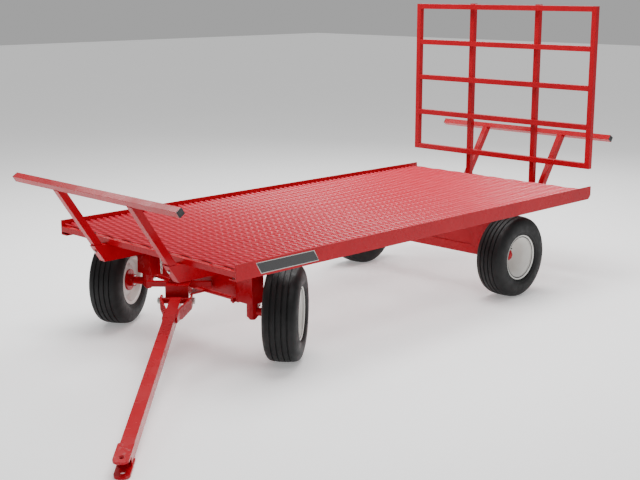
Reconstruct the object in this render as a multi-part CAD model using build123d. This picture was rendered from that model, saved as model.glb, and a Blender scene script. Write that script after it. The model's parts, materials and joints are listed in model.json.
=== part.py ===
"""Small flat-deck hay wagon: expanded-metal deck, car-type front steering and a drawbar.

Built standing on the ground (z = 0 under the tyres), +X towards the drawbar, +Y to the
wagon's left, then moved so that the origin is the middle of the deck's load surface.
It stands with the drawbar swung to the left and lowered to the ground.
"""
from build123d import *
import os
from math import asin, atan2, cos, degrees, hypot, radians, sin, tan

# ---------------------------------------------------------------- deck and frame
DECK_LENGTH = 3126
DECK_WIDTH = 1524          # outside the side rails
DECK_TOP = 608             # load surface above the ground
DECK_DEPTH = 15.9          # raised expanded metal, highest to lowest point
DECK_SHEET = 2.4           # with its ribs, a sheet as heavy as the expanded metal
DECK_RIB = 6               # width of the ribs that rest on the frame
DECK_EDGE_GAP = 3          # sheet to side rail
DECK_LEDGE = 18            # strip of the end rails left bare in front of the sheet
RAIL_ABOVE_DECK = 20
RAIL_HEIGHT = 84
RAIL_THICK = 8
RAIL_LIP = 45              # inward lower leg of the side rail
RAIL_HEEL = 24             # bevel at the rear lower corner of the side rail
CROSS_DEPTH = 30           # end rails and cross members
CROSS_WIDTH = 40
CROSS_WALL = 4
CROSS_PITCH_MAX = 420
BEAM_Y = 325               # main beams and the legs in their ends
BEAM_DEPTH = 95
BEAM_WALL = 4

# ---------------------------------------------------------------- bale standards (T-bars)
BAR_OUT = 291              # bar's centre beyond the end of the deck
BAR_Z = 917
BAR_LENGTH = 1432
BAR_SIZE = 36
BAR_WALL = 3
LEG_SIZE = 40
LEG_WALL = 4
LEAN = 33.5                # legs from the vertical, degrees
LEG_PLAY = 0.8             # leg to the plates in front of and behind it
LEG_SIDE_PLAY = 1          # leg to the beam's side walls
SOCKET_PLATE = 5
LEG_FOOT_GAP = 0.5         # leg's foot to the floor of its socket
SET_SCREW_DROP = 18        # set screw below the cross members
SET_SCREW_R = 5
SET_SCREW_HEAD_R = 9
SET_SCREW_HEAD = 7
SCREW_TIP_GAP = 0.3
PLUG_PROUD = 4
PLUG_DEPTH = 16
PLUG_PLAY = 0.1

# ---------------------------------------------------------------- rear rack
RACK_HALF_WIDTH = 755
RACK_TUBE = 35
RACK_WALL = 3
RACK_BOTTOM = 137          # above the deck
RACK_PITCH = 256.5
RACK_RAILS = 5
POST_BEAM_GAP = 2          # post pocket to the main beam beside it
POST_ABOVE = 6             # post tops above the top rail
POCKET_WALL = 5
POCKET_PLAY = 0.5
POCKET_DROP = 105          # pocket below the deck
POCKET_FLOOR = 6

# ---------------------------------------------------------------- wheels
TYRE_R = 258
TYRE_WIDTH = 190
TYRE_WALL = 12
BEAD_R = 127
TREAD_HALF = 74
GROOVES = 4
GROOVE_WIDTH = 8
GROOVE_DEPTH = 7
RIM_FLANGE_R = 143
RIM_HALF = 82
RIM_WALL = 4
RIM_WELL_R = 104
DISC_S = -50               # wheel disc's outer face from the wheel's middle plane
DISC_THICK = 6
HUB_R = 36
HUB_IN = -95               # inner end of the hub from the wheel's middle plane
HUB_OUT = -14
HUB_FLANGE_R = 62
HUB_FLANGE = 10
CAP_LENGTH = 22
BEARING_R = 27
BEARING_WIDTH = 17
SPINDLE_R = 15
RUN = 0.05                 # radial running clearance
SIDE_RUN = 0.4             # end play between turning faces
SPINDLE_NUT = 10
SHOULDER_R = 22

# ---------------------------------------------------------------- axles and steering
FRONT_AXLE_X = 1190
REAR_AXLE_X = -833
REAR_WHEEL_Y = 648
KINGPIN_Y = 455
SPINDLE_OFFSET = 178       # kingpin axis to the front wheel's middle plane
LEFT_STEER = 37.7          # left wheel's turn as the wagon stands, degrees
RIGHT_STEER = 30.6
WEB_HALF = 370             # half-length of the bolster's middle
WEB_THICK = 50
WEB_FRONT = 8              # front bolster's middle stands back from the kingpin line
BOX_THICK = 80             # end boxes of the bolsters
PLATE = 6
BOLSTER_ABOVE_SPINDLE = 52
FRONT_BOX_END = 500
REAR_BOX_END = 520
AXLE_TUBE = 60
AXLE_WALL = 6
AXLE_TUBE_END = 535
KINGPIN_R = 15
KINGPIN_TOP = 520
BUSH_WALL = 5
BUSH_LENGTH = 40
KING_TUBE_WALL = 7
BOSS_R = 31
BOSS_BELOW_SPINDLE = 25
KING_NUT = 8
KING_CAP = 8
ARM_R = 100                # kingpin to tie rod joint
ARM_THICK = 13
ARM_WIDTH = 40
TIE_ABOVE_SPINDLE = 10
TIE_ROD_R = 12.5
EYE_R = 20
EYE_THICK = 12
EYE_NECK = 50              # flat part of the rod beside each eye
TIE_BOLT_R = 7
OPEN_PIVOT_PLAY = 0.3
STACK_GAP = 0.5
CLAMP_FROM_EYE = 171
CLAMP_LENGTH = 46
SLOT_PLAY = 1.2
SLOT_TRAVEL = 14
TAB_WIDTH = 70

# ---------------------------------------------------------------- drawbar head
PIVOT_AHEAD = 125          # pivot in front of the kingpin line
SWING = 44                 # drawbar's turn to the left as the wagon stands, degrees
PIVOT_R = 15
LUG_THICK = 12
LUG_R = 52
LUG_LOW = 376              # underside of the lower lug
LUG_GAP = 48
HEAD_FRONT = 107           # pivot to the head's front face
HEAD_BACK = -36
HEAD_HALF = 63
HEAD_LOW = 300
HEAD_TOP = 366
HEAD_PLATE = 10
HEAD_DISC_R = 62
HEAD_DISC = 8
STOP_REACH = 177
STOP_SIZE = 30
DRIVE_R = 80               # pivot to the drive pin behind it
DRIVE_PIN_R = 8
DRIVE_ARM_HALF = 24
DRIVE_ARM = 12
HINGE_A = 122              # pivot to the lift pin
HINGE_Z = 287
HINGE_PIN_R = 10
SLEEVE_R = 17
SLEEVE_HALF = 75
SLEEVE_SPLIT = 4

# ---------------------------------------------------------------- drawbar
TONGUE_LENGTH = 1633       # lift pin to hitch hole
TONGUE_TUBE = 60
TONGUE_WALL = 5
TONGUE_START = 22
EAR_THICK = 10
EAR_PLAY = 0.6
EAR_R = 32
EAR_FLARE = 165            # lift pin to the point where the ears meet the tube
EAR_TAIL = 265
HITCH_PLATE = 10
HITCH_WIDTH = 70
HITCH_HOLE_R = 13
HITCH_BACK = 110           # plate behind the hitch hole
HITCH_LAP = 60             # plate lying on the tube
HITCH_NOSE = 42
GROUND_GAP = 0.5

# ---------------------------------------------------------------- small pieces
BADGE_X = (1001, 1435)
BADGE_HEIGHT = 60
BADGE_SLANT = 34
BADGE_THICK = 0.6
CHAIN_Y = 146
CHAIN_LINKS = 5
LINK_R = 5
LINK_WIRE = 1.8
LINK_STRAIGHT = 9
HEX_RATIO = 2 / 3 ** 0.5

# worked out from the sizes above
RAIL_TOP = DECK_TOP + RAIL_ABOVE_DECK
FRAME_TOP = DECK_TOP - DECK_DEPTH
CROSS_LOW = FRAME_TOP - CROSS_DEPTH
BEAM_LOW = CROSS_LOW - BEAM_DEPTH
HALF_L = DECK_LENGTH / 2
HALF_W = DECK_WIDTH / 2
BAR_X = HALF_L + BAR_OUT
PIVOT_X = FRONT_AXLE_X + PIVOT_AHEAD
FRONT_BOLSTER_BOTTOM = TYRE_R + BOLSTER_ABOVE_SPINDLE
BOSS_BOTTOM = TYRE_R - BOSS_BELOW_SPINDLE
TIE_Z = TYRE_R + TIE_ABOVE_SPINDLE
BEAM_WIDTH = LEG_SIZE + 2 * (LEG_SIDE_PLAY + BEAM_WALL)
POCKET_HALF = RACK_TUBE / 2 + POCKET_PLAY + POCKET_WALL
POST_Y = BEAM_Y - BEAM_WIDTH / 2 - POST_BEAM_GAP - POCKET_HALF
RACK_BEHIND = HALF_L + POCKET_HALF
FRONT_WEB_X = FRONT_AXLE_X - WEB_FRONT - WEB_THICK / 2
BUSH_R = KINGPIN_R + RUN + BUSH_WALL

os.makedirs("parts", exist_ok=True)
nodes = {}


def add(name, *solids):
    """Keep one sub-part, which may be several separate solids."""
    nodes.setdefault(name, []).extend(s for shape in solids for s in shape.solids())


def block(x0, x1, y0, y1, z0, z1):
    """Box between two opposite corners."""
    centre = Pos((x0 + x1) / 2, (y0 + y1) / 2, (z0 + z1) / 2)
    return centre * Box(abs(x1 - x0), abs(y1 - y0), abs(z1 - z0))


def rod(radius, z0, z1, x=0.0, y=0.0):
    """Upright cylinder between two heights."""
    return Pos(x, y, (z0 + z1) / 2) * Cylinder(radius, z1 - z0)


def hexagon(across, z0, z1, x=0.0, y=0.0):
    """Upright hexagonal prism, sized across its flats."""
    outline = Pos(x, y, z0) * RegularPolygon(across / 2 * HEX_RATIO, 6)
    return extrude(outline, z1 - z0)


def flat_plate(points, z0, z1):
    """Plate cut to an outline seen from above."""
    return extrude(Pos(0, 0, z0) * make_face(Polyline(*points, close=True)), z1 - z0)


def side_plate(points, y0, y1):
    """Plate cut to an outline of (x, z) points seen from the side."""
    face = make_face(Polyline(*[(x, y0, z) for x, z in points], close=True))
    return extrude(face, y1 - y0, dir=(0, 1, 0))


def square_tube(size, wall, length, depth=None):
    """Hollow section along Z from 0; depth is its size along Y when it differs."""
    depth = depth or size
    outer = Box(size, depth, length)
    return Pos(0, 0, length / 2) * (outer - Box(size - 2 * wall, depth - 2 * wall, length + 1))


def turned(points):
    """Body turned round the Y axis from an outline of (radius, y) points."""
    face = make_face(Polyline(*[(r, s, 0) for r, s in points], close=True))
    return revolve(face, Axis.Y, 360)


# ---------------------------------------------------------------- deck frame
def deck_sheet():
    """Load surface between the side rails, with a rib over each member of the frame."""
    half_x = HALF_L - DECK_LEDGE
    half_y = HALF_W - RAIL_THICK - DECK_EDGE_GAP
    sheet = block(-half_x, half_x, -half_y, half_y, DECK_TOP - DECK_SHEET, DECK_TOP)
    last = half_x - DECK_RIB / 2
    for x in [-last, *cross_centres(), last]:
        sheet += block(x - DECK_RIB / 2, x + DECK_RIB / 2, -half_y, half_y, FRAME_TOP, DECK_TOP)
    return sheet


def side_rail(side):
    """Angle along one side, its lower leg turned inwards and its rear heel bevelled."""
    low = RAIL_TOP - RAIL_HEIGHT
    outline = [(-HALF_L, RAIL_TOP), (HALF_L, RAIL_TOP), (HALF_L, low)]
    outline += [(-HALF_L + RAIL_HEEL, low), (-HALF_L, low + RAIL_HEEL)]
    upright = side_plate(outline, HALF_W - RAIL_THICK, HALF_W)
    inner = HALF_W - RAIL_THICK
    lip = block(-HALF_L + RAIL_HEEL, HALF_L, inner - RAIL_LIP, inner, low, low + RAIL_THICK)
    rail = upright + lip
    return rail if side > 0 else mirror(rail, Plane.XZ)


def end_rail(side):
    """Channel across one end of the deck, open towards the middle."""
    reach = HALF_W - RAIL_THICK
    outer = block(HALF_L - CROSS_WIDTH, HALF_L, -reach, reach, CROSS_LOW, FRAME_TOP)
    inside = block(HALF_L - CROSS_WIDTH - 1, HALF_L - CROSS_WALL, -reach - 1, reach + 1,
                   CROSS_LOW + CROSS_WALL, FRAME_TOP - CROSS_WALL)
    rail = outer - inside
    return rail if side > 0 else mirror(rail, Plane.YZ)


def cross_centres():
    """Evenly spaced members, one of them over each axle."""
    stops = [-HALF_L + CROSS_WIDTH / 2, REAR_AXLE_X, FRONT_AXLE_X, HALF_L - CROSS_WIDTH / 2]
    centres = [REAR_AXLE_X, FRONT_AXLE_X]
    for low, high in zip(stops, stops[1:]):
        bays = int((high - low) // CROSS_PITCH_MAX) + 1
        centres += [low + (high - low) * i / bays for i in range(1, bays)]
    return sorted(centres)


def cross_members():
    """Hollow members under the deck."""
    reach = HALF_W - RAIL_THICK
    half = CROSS_WIDTH / 2
    members = []
    for x in cross_centres():
        outer = block(x - half, x + half, -reach, reach, CROSS_LOW, FRAME_TOP)
        inside = block(x - half + CROSS_WALL, x + half - CROSS_WALL, -reach - 1, reach + 1,
                       CROSS_LOW + CROSS_WALL, FRAME_TOP - CROSS_WALL)
        members.append(outer - inside)
    return members


# ---------------------------------------------------------------- legs and their sockets
def leg_x(z):
    """Where a front leg's axis is at height z."""
    return BAR_X - (BAR_Z - z) * tan(radians(LEAN))


def along_leg(x, z):
    """Frame at (x, z) with its Z axis up the front legs."""
    return Pos(x, 0, z) * Rot(0, LEAN, 0)


SOCKET_HALF = LEG_SIZE / 2 + LEG_PLAY
SOCKET_EDGE = (SOCKET_HALF + SOCKET_PLATE) / cos(radians(LEAN))


def beam_outline(inset):
    """Main beam from the side, its ends cut to the lean of the legs."""
    top = CROSS_LOW - inset
    low = BEAM_LOW + inset
    far_top = leg_x(top) + SOCKET_EDGE
    far_low = leg_x(low) + SOCKET_EDGE
    return [(-far_low, low), (far_low, low), (far_top, top), (-far_top, top)]


def main_beam(side):
    """Hollow main beam; its top is open over the legs."""
    y0 = side * BEAM_Y - BEAM_WIDTH / 2
    y1 = side * BEAM_Y + BEAM_WIDTH / 2
    beam = side_plate(beam_outline(0), y0, y1)
    beam -= side_plate(beam_outline(BEAM_WALL), y0 + BEAM_WALL, y1 - BEAM_WALL)
    mouth = leg_x(CROSS_LOW - BEAM_WALL) - SOCKET_EDGE
    far = leg_x(CROSS_LOW) + 2 * SOCKET_EDGE
    for x0, x1 in ((mouth, far), (-far, -mouth)):
        beam -= block(x0, x1, y0 + BEAM_WALL, y1 - BEAM_WALL, CROSS_LOW - 2 * BEAM_WALL,
                      CROSS_LOW + 1)
    return beam


def socket_plates(side, end):
    """Two slanted plates inside a beam end, in front of and behind the leg."""
    inner = BEAM_WIDTH / 2 - BEAM_WALL
    y0 = side * BEAM_Y - inner
    y1 = side * BEAM_Y + inner
    low = BEAM_LOW + BEAM_WALL
    plates = []
    for near in (SOCKET_HALF, -SOCKET_HALF - SOCKET_PLATE):
        shift = near / cos(radians(LEAN))
        width = SOCKET_PLATE / cos(radians(LEAN))
        outline = []
        for z in (low, CROSS_LOW):
            outline += [(leg_x(z) + shift, z), (leg_x(z) + shift + width, z)]
        outline = [outline[0], outline[1], outline[3], outline[2]]
        plates.append(side_plate(outline, y0, y1))
    screw_z = CROSS_LOW - SET_SCREW_DROP
    hole = along_leg(leg_x(screw_z), screw_z) * Pos(0, side * BEAM_Y, 0) * Rot(0, 90, 0)
    plates[0] -= hole * rod(SET_SCREW_R + RUN, 0, 3 * LEG_SIZE)
    return [p if end > 0 else mirror(p, Plane.YZ) for p in plates]


def set_screw(side, end):
    """Screw through a socket's front plate that clamps the leg."""
    screw_z = CROSS_LOW - SET_SCREW_DROP
    place = along_leg(leg_x(screw_z), screw_z) * Pos(0, side * BEAM_Y, 0) * Rot(0, 90, 0)
    face = SOCKET_HALF + SOCKET_PLATE
    screw = rod(SET_SCREW_R, LEG_SIZE / 2 + SCREW_TIP_GAP, face + 1)
    screw += hexagon(2 * SET_SCREW_HEAD_R, face + STACK_GAP, face + STACK_GAP + SET_SCREW_HEAD)
    screw = place * screw
    return screw if end > 0 else mirror(screw, Plane.YZ)


def leg_length():
    """Bar's underside to the foot, whose lower corner stands off the beam's floor."""
    floor = BEAM_LOW + BEAM_WALL + LEG_FOOT_GAP
    rise = BAR_Z - floor - LEG_SIZE / 2 * sin(radians(LEAN))
    return rise / cos(radians(LEAN)) - BAR_SIZE / 2


def standard_leg(side, end):
    """Square leg from its socket up to the bar."""
    length = leg_length()
    leg = along_leg(BAR_X, BAR_Z) * Pos(0, side * BEAM_Y, -BAR_SIZE / 2 - length)
    leg = leg * square_tube(LEG_SIZE, LEG_WALL, length)
    return leg if end > 0 else mirror(leg, Plane.YZ)


def standard_bar(end):
    """Hollow bar across the tops of two legs."""
    bar = along_leg(BAR_X, BAR_Z) * Rot(90, 0, 0) * Pos(0, 0, -BAR_LENGTH / 2)
    bar = bar * square_tube(BAR_SIZE, BAR_WALL, BAR_LENGTH)
    return bar if end > 0 else mirror(bar, Plane.YZ)


def bar_plug(side, end):
    """Plug in one end of a bar."""
    inner = BAR_SIZE - 2 * BAR_WALL - 2 * PLUG_PLAY
    plug = Pos(0, 0, -PLUG_DEPTH / 2) * Box(inner, inner, PLUG_DEPTH)
    plug += Pos(0, 0, PLUG_PROUD / 2) * Box(BAR_SIZE, BAR_SIZE, PLUG_PROUD)
    plug = along_leg(BAR_X, BAR_Z) * Pos(0, side * BAR_LENGTH / 2, 0) * Rot(-side * 90, 0, 0) * plug
    return plug if end > 0 else mirror(plug, Plane.YZ)


# ---------------------------------------------------------------- rack
def rack_rail(index):
    """One of the rack's level tubes, between its side tubes."""
    z = DECK_TOP + RACK_BOTTOM + RACK_TUBE / 2 + index * RACK_PITCH
    reach = RACK_HALF_WIDTH - RACK_TUBE
    x = -(RACK_BEHIND - RACK_TUBE)
    tube = Rot(90, 0, 0) * Pos(0, 0, -reach) * square_tube(RACK_TUBE, RACK_WALL, 2 * reach)
    return Pos(x, 0, z) * tube


def rack_top():
    """Upper face of the rack's top rail."""
    return DECK_TOP + RACK_BOTTOM + RACK_TUBE + (RACK_RAILS - 1) * RACK_PITCH


def rack_side(side):
    """Upright tube at one end of the rails."""
    low = DECK_TOP + RACK_BOTTOM
    place = Pos(-(RACK_BEHIND - RACK_TUBE), side * (RACK_HALF_WIDTH - RACK_TUBE / 2), low)
    return place * square_tube(RACK_TUBE, RACK_WALL, rack_top() - low)


def rack_post(side):
    """Post behind the rails, from its pocket to just above the top rail."""
    low = DECK_TOP - POCKET_DROP + POCKET_FLOOR + LEG_FOOT_GAP
    place = Pos(-RACK_BEHIND, side * POST_Y, low)
    return place * square_tube(RACK_TUBE, RACK_WALL, rack_top() + POST_ABOVE - low)


def rack_pocket(side):
    """Pocket with a floor on the rear end rail."""
    outer = 2 * POCKET_HALF
    low = DECK_TOP - POCKET_DROP
    pocket = square_tube(outer, POCKET_WALL, FRAME_TOP - low)
    pocket += Pos(0, 0, POCKET_FLOOR / 2) * Box(outer, outer, POCKET_FLOOR)
    return Pos(-RACK_BEHIND, side * POST_Y, low) * pocket


# ---------------------------------------------------------------- bolsters and rear axle
def hollow(x0, x1, y0, y1, z0, z1):
    """Closed box of plates."""
    t = PLATE
    return block(x0, x1, y0, y1, z0, z1) - block(x0 + t, x1 - t, y0 + t, y1 - t, z0 + t, z1 - t)


def bolster(x, web_x, low, end_y):
    """Deep axle beam: a middle under the main beams and a taller box at each end."""
    half = WEB_THICK / 2
    beam = hollow(web_x - half, web_x + half, -WEB_HALF - PLATE, WEB_HALF + PLATE, low, BEAM_LOW)
    for side in (1, -1):
        y0, y1 = sorted((side * WEB_HALF, side * end_y))
        beam += block(x - BOX_THICK / 2, x + BOX_THICK / 2, y0, y1, low, CROSS_LOW)
        beam -= block(x - BOX_THICK / 2 + PLATE, x + BOX_THICK / 2 - PLATE, y0 + PLATE,
                      y1 - PLATE, low + PLATE, CROSS_LOW - PLATE)
    return beam


def front_bolster():
    """Front beam with an upright tube for each kingpin."""
    beam = bolster(FRONT_AXLE_X, FRONT_WEB_X, FRONT_BOLSTER_BOTTOM, FRONT_BOX_END)
    tube_top = KINGPIN_TOP - PLATE
    for side in (1, -1):
        beam += rod(BUSH_R + KING_TUBE_WALL, FRONT_BOLSTER_BOTTOM, tube_top,
                    FRONT_AXLE_X, side * KINGPIN_Y)
        beam -= rod(BUSH_R, FRONT_BOLSTER_BOTTOM - 1, tube_top + 1,
                    FRONT_AXLE_X, side * KINGPIN_Y)
    return beam


def kingpin_bushes():
    """Two bushes in each kingpin tube."""
    bushes = []
    for side in (1, -1):
        for low in (FRONT_BOLSTER_BOTTOM, KINGPIN_TOP - PLATE - BUSH_LENGTH):
            ring = rod(BUSH_R, low, low + BUSH_LENGTH) - rod(KINGPIN_R + RUN, low - 1,
                                                             low + BUSH_LENGTH + 1)
            bushes.append(Pos(FRONT_AXLE_X, side * KINGPIN_Y, 0) * ring)
    return bushes


REAR_BOLSTER_BOTTOM = TYRE_R + AXLE_TUBE / 2


def rear_bolster():
    """Rear beam on top of the axle tube."""
    return bolster(REAR_AXLE_X, REAR_AXLE_X, REAR_BOLSTER_BOTTOM, REAR_BOX_END)


def spindle(reach_in):
    """Shaft of a wheel about its own middle plane, along +Y, from reach_in outwards."""
    shaft = turned([(0, reach_in), (SHOULDER_R, reach_in), (SHOULDER_R, HUB_IN - SIDE_RUN),
                    (SPINDLE_R, HUB_IN - SIDE_RUN), (SPINDLE_R, HUB_OUT - 1), (0, HUB_OUT - 1)])
    return shaft


def rear_axle():
    """Square tube with a spindle at each end."""
    half = AXLE_TUBE / 2
    inner = half - AXLE_WALL
    axle = block(-half, half, -AXLE_TUBE_END, AXLE_TUBE_END, -half, half)
    axle -= block(-inner, inner, -AXLE_TUBE_END + PLATE, AXLE_TUBE_END - PLATE, -inner, inner)
    for side in (1, -1):
        end = Pos(0, REAR_WHEEL_Y, 0) * spindle(AXLE_TUBE_END - REAR_WHEEL_Y)
        axle += end if side > 0 else mirror(end, Plane.XZ)
    return Pos(REAR_AXLE_X, 0, TYRE_R) * axle


# ---------------------------------------------------------------- wheels
def tyre():
    """Ribbed tyre, open to the rim."""
    half = TYRE_WIDTH / 2
    crown = TYRE_R - 3
    right = [(BEAD_R + 0.2, RIM_HALF - RIM_WALL - 1), (RIM_FLANGE_R + 2, RIM_HALF - RIM_WALL - 1),
             (RIM_FLANGE_R + 8, half - 7), (TYRE_R - 68, half), (TYRE_R - 34, half - 3),
             (TYRE_R - 14, half - 11), (crown, TREAD_HALF)]
    step = TREAD_HALF * 2 / (GROOVES + 1)
    tread = []
    for i in range(GROOVES):
        middle = TREAD_HALF - step * (i + 1)
        tread += [(TYRE_R, middle + GROOVE_WIDTH / 2), (TYRE_R - GROOVE_DEPTH, middle + 2),
                  (TYRE_R - GROOVE_DEPTH, middle - 2), (TYRE_R, middle - GROOVE_WIDTH / 2)]
    outer = right + tread + [(r, -s) for r, s in reversed(right)]
    bead_in = RIM_HALF - RIM_WALL - 1 - TYRE_WALL
    cave = [(BEAD_R + 0.2, bead_in), (TYRE_R - 68, half - TYRE_WALL),
            (TYRE_R - 34, half - TYRE_WALL - 4), (TYRE_R - 20, TREAD_HALF - 14)]
    inner = cave + [(r, -s) for r, s in reversed(cave)]
    return turned(outer + list(reversed(inner)))


def rim():
    """Drop-centre rim with its deep-set disc."""
    edge = RIM_HALF
    out = [(RIM_FLANGE_R, edge), (RIM_FLANGE_R, edge - RIM_WALL), (BEAD_R, edge - RIM_WALL),
           (BEAD_R, 46), (RIM_WELL_R + 4, 34)]
    back = [(RIM_WELL_R + 4, -34), (BEAD_R, -46), (BEAD_R, -edge + RIM_WALL),
            (RIM_FLANGE_R, -edge + RIM_WALL), (RIM_FLANGE_R, -edge)]
    shell = out + back + [(BEAD_R - RIM_WALL, -edge), (BEAD_R - RIM_WALL, -50),
                          (RIM_WELL_R, -38), (RIM_WELL_R, 38), (BEAD_R - RIM_WALL, 50),
                          (BEAD_R - RIM_WALL, edge)]
    body = turned(shell)
    disc_rim = BEAD_R - RIM_WALL / 2
    disc = turned([(HUB_R, DISC_S), (HUB_R + 30, DISC_S), (RIM_WELL_R - 12, DISC_S - 9),
                   (disc_rim, DISC_S - 9), (disc_rim, DISC_S - 9 - DISC_THICK),
                   (RIM_WELL_R - 14, DISC_S - 9 - DISC_THICK), (HUB_R + 28, DISC_S - DISC_THICK),
                   (HUB_R, DISC_S - DISC_THICK)])
    return body + disc


def hub():
    """Hub through the disc, bored for two bearings."""
    flange = DISC_S - DISC_THICK
    body = turned([(SPINDLE_R + 4, HUB_IN), (HUB_R, HUB_IN), (HUB_R, flange - HUB_FLANGE),
                   (HUB_FLANGE_R, flange - HUB_FLANGE), (HUB_FLANGE_R, flange), (HUB_R, flange),
                   (HUB_R, HUB_OUT), (SPINDLE_R + 4, HUB_OUT)])
    for low in (HUB_IN, HUB_OUT - SPINDLE_NUT - BEARING_WIDTH - SIDE_RUN):
        top = low + BEARING_WIDTH if low == HUB_IN else HUB_OUT + 1
        body -= turned([(0, low - (low == HUB_IN)), (BEARING_R + RUN, low - (low == HUB_IN)),
                        (BEARING_R + RUN, top), (0, top)])
    return body


def bearings_and_nut():
    """Two bearings and the nut on a spindle, about the wheel's middle plane."""
    pieces = []
    for low in (HUB_IN, HUB_OUT - SPINDLE_NUT - BEARING_WIDTH - SIDE_RUN):
        start = low if low == HUB_IN else low + SIDE_RUN / 2
        pieces.append(turned([(SPINDLE_R + RUN / 5, start), (BEARING_R, start),
                              (BEARING_R, start + BEARING_WIDTH - SIDE_RUN / 2),
                              (SPINDLE_R + RUN / 5, start + BEARING_WIDTH - SIDE_RUN / 2)]))
    nut = hexagon(38, HUB_OUT - SPINDLE_NUT, HUB_OUT - 1) - rod(SPINDLE_R + RUN / 5,
                                                               HUB_OUT - 2 * SPINDLE_NUT, 0)
    pieces.append(Rot(-90, 0, 0) * nut)
    return pieces


def dust_cap():
    """Domed cap on the hub's outer end."""
    start = HUB_OUT
    wall = 2
    outline = [(0, start + CAP_LENGTH), (HUB_R * 0.45, start + CAP_LENGTH),
               (HUB_R * 0.8, start + CAP_LENGTH * 0.7), (HUB_R - 4, start + 4),
               (HUB_R, start + 4), (HUB_R, start)]
    inside = [(HUB_R - 4 - wall, start), (HUB_R * 0.8 - wall, start + CAP_LENGTH * 0.6),
              (HUB_R * 0.4, start + CAP_LENGTH - wall), (0, start + CAP_LENGTH - wall)]
    return turned(outline + inside)


def wheel_frame(kind):
    """Frame at a wheel's middle with +Y pointing out of the wagon."""
    if kind == "rear_left":
        return Pos(REAR_AXLE_X, REAR_WHEEL_Y, TYRE_R)
    if kind == "rear_right":
        return Pos(REAR_AXLE_X, -REAR_WHEEL_Y, TYRE_R) * Rot(0, 0, 180)
    if kind == "front_left":
        return knuckle_frame(1) * Pos(0, SPINDLE_OFFSET, 0)
    return knuckle_frame(-1) * Pos(0, SPINDLE_OFFSET, 0)


def knuckle_frame(side):
    """Frame on a kingpin at spindle height, +Y along the spindle, out of the wagon."""
    turn = LEFT_STEER if side > 0 else 180 + RIGHT_STEER
    return Pos(FRONT_AXLE_X, side * KINGPIN_Y, TYRE_R) * Rot(0, 0, turn)


# ---------------------------------------------------------------- steering
def tie_angle():
    """Direction of both steering arms as the wagon stands, seen from above."""
    return 180 + (LEFT_STEER + RIGHT_STEER) / 2


def arm_tip(side):
    """Tie rod joint of one knuckle."""
    a = radians(tie_angle())
    return FRONT_AXLE_X + ARM_R * cos(a), side * KINGPIN_Y + ARM_R * sin(a)


ARM_LOW = TIE_Z + EYE_THICK / 2 + STACK_GAP


def knuckle(side):
    """Kingpin, boss, steering arm and spindle in one forging."""
    x, y = FRONT_AXLE_X, side * KINGPIN_Y
    top = FRONT_BOLSTER_BOTTOM - SIDE_RUN
    body = rod(BOSS_R, BOSS_BOTTOM, top, x, y) + rod(KINGPIN_R, BOSS_BOTTOM - KING_NUT,
                                                    KINGPIN_TOP, x, y)
    body += knuckle_frame(side) * Pos(0, SPINDLE_OFFSET, 0) * spindle(-SPINDLE_OFFSET)
    arm = block(0, ARM_R, -ARM_WIDTH / 2, ARM_WIDTH / 2, ARM_LOW, ARM_LOW + ARM_THICK)
    arm += rod(ARM_WIDTH / 2, ARM_LOW, ARM_LOW + ARM_THICK, ARM_R, 0)
    arm -= rod(TIE_BOLT_R + RUN, ARM_LOW - 1, ARM_LOW + ARM_THICK + 1, ARM_R, 0)
    return body + Pos(x, y, 0) * Rot(0, 0, tie_angle()) * arm


def kingpin_cap(side):
    """Collar and domed nut under a knuckle."""
    x, y = FRONT_AXLE_X, side * KINGPIN_Y
    collar = hexagon(46, BOSS_BOTTOM - KING_NUT, BOSS_BOTTOM, x, y)
    collar -= rod(KINGPIN_R, BOSS_BOTTOM - KING_NUT, BOSS_BOTTOM, x, y)
    low = BOSS_BOTTOM - KING_NUT
    dome = Pos(x, y, low) * Sphere(KINGPIN_R + 4) & block(x - 30, x + 30, y - 30, y + 30,
                                                         low - KING_CAP, low)
    return collar + dome


def kingpin_washer(side):
    """Retaining ring on top of a kingpin, above its tube."""
    top = KINGPIN_TOP
    ring = rod(KINGPIN_R + 8, top - PLATE + SIDE_RUN, top - 1) - rod(KINGPIN_R, top - PLATE - 1, top)
    return Pos(FRONT_AXLE_X, side * KINGPIN_Y, 0) * ring


def tie_bolt(side):
    """Bolt and nut through a steering arm and the tie rod's eye."""
    x, y = arm_tip(side)
    under = TIE_Z - EYE_THICK / 2 - STACK_GAP
    top = ARM_LOW + ARM_THICK
    bolt = rod(TIE_BOLT_R, under - 13, top) + hexagon(22, top, top + 9)
    nut = hexagon(22, under - 11, under) - rod(TIE_BOLT_R, under - 12, under + 1)
    return [Pos(x, y, 0) * bolt, Pos(x, y, 0) * nut]


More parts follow.
